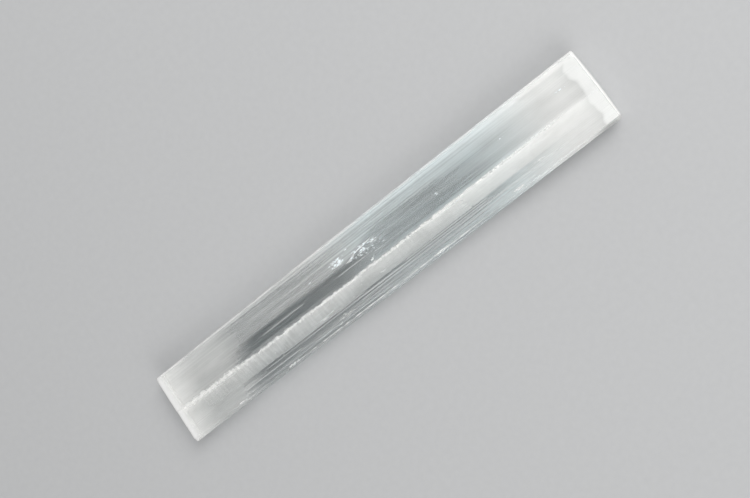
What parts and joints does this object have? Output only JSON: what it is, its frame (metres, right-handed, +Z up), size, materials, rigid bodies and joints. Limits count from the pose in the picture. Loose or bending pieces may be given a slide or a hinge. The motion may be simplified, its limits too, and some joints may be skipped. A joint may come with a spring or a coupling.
{
  "type": "selenite crystal blade",
  "caption": "Flat natural blade of fibrous gypsum, clear to milky, sawn across at both ends, with lengthwise ridges and a ragged white seam, lying on its back face.",
  "frame": {"origin": "middle of the box round the back face that the blade rests on", "axes": "+X along the fibres towards the squarely sawn, whiter end; +Y across the blade towards its plain upper edge; +Z up out of the front face"},
  "size_m": [0.2484, 0.0366, 0.011],
  "materials": {
    "gypsum": "clear to milky fibrous gypsum with a silky lustre along its length, frosted white at the sawn ends"
  },
  "bodies": {
    "root": {"selenite_blade": "gypsum"}
  },
  "joints": []
}
